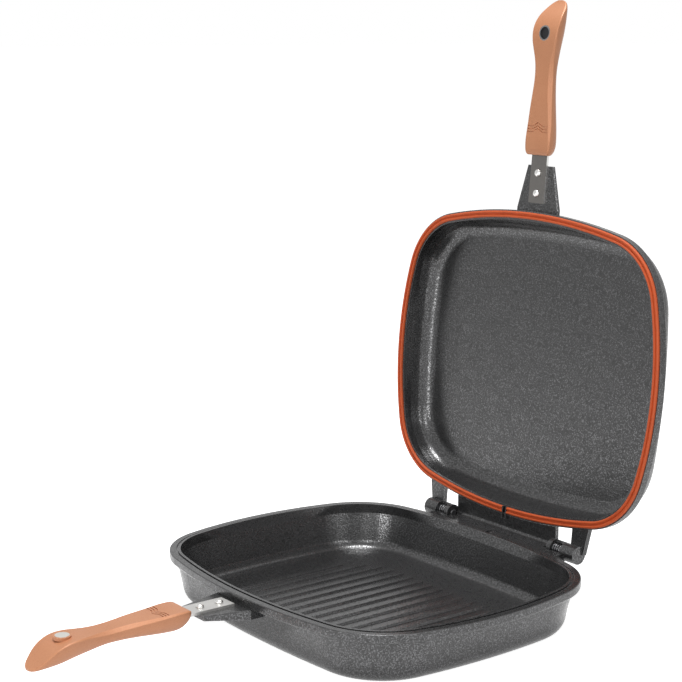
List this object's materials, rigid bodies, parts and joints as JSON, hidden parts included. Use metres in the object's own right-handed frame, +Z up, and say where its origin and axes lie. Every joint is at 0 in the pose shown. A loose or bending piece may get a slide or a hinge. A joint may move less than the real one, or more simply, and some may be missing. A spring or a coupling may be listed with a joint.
{
  "type": "double sided flip pan",
  "caption": "Two rectangular non-stick pans hinged face to face, with a soft seal, a drip tray at the hinge and a magnetic latch between the handles.",
  "frame": {"origin": "centre of the lower pan's flat base, on the surface it stands on", "axes": "+Z up, +Y back to the hinge, -Y out along the handle of the lower pan, +X to the right seen from the handle"},
  "size_m": [0.32, 0.5032, 0.4842],
  "materials": {
    "pan_coating": "satin dark grey speckled non-stick coating on cast aluminium",
    "strap_steel": "brushed",
    "rivet_metal": "polished",
    "grip": "satin metallic tan lacquer on moulded heat-resistant plastic",
    "screw_steel": "plain",
    "latch_steel": "satin",
    "cup_metal": "satin",
    "magnet_metal": "dark plated",
    "silicone": "matte orange-red silicone",
    "pin_steel": "ground",
    "spring_steel": "drawn wire"
  },
  "bodies": {
    "lower": {"lower_pan": "pan_coating", "lower_strap": "strap_steel", "lower_strap_rivets": "rivet_metal", "lower_grip": "grip", "lower_grip_screw": "screw_steel", "latch_plate": "latch_steel", "left_hinge_spring": "spring_steel", "right_hinge_spring": "spring_steel"},
    "lid": {"upper_pan": "pan_coating", "silicone_seal": "silicone", "upper_strap": "strap_steel", "upper_strap_rivets": "rivet_metal", "upper_grip": "grip", "upper_grip_screw": "screw_steel", "magnet_cup": "cup_metal", "latch_magnet": "magnet_metal"},
    "left_pin": {"left_hinge_pin": "pin_steel", "left_pin_collar": "pin_steel"},
    "right_pin": {"right_hinge_pin": "pin_steel", "right_pin_collar": "pin_steel"}
  },
  "joints": [
    {"name": "lid_hinge", "type": "hinge", "parent": "lower", "child": "lid", "pos_m": [0, 0.142, 0.0421], "axis": [1, 0, 0], "range_deg": [0, 95]},
    {"name": "left_pin_slide", "type": "slide", "parent": "lower", "child": "left_pin", "axis": [1, 0, 0], "range_m": [0, 0.0058], "stiffness_N_per_m": 1500, "springref_m": -0.002, "deforming": ["left_hinge_spring"]},
    {"name": "right_pin_slide", "type": "slide", "parent": "lower", "child": "right_pin", "axis": [-1, 0, 0], "range_m": [0, 0.0058], "stiffness_N_per_m": 1500, "springref_m": -0.002, "deforming": ["right_hinge_spring"]}
  ]
}
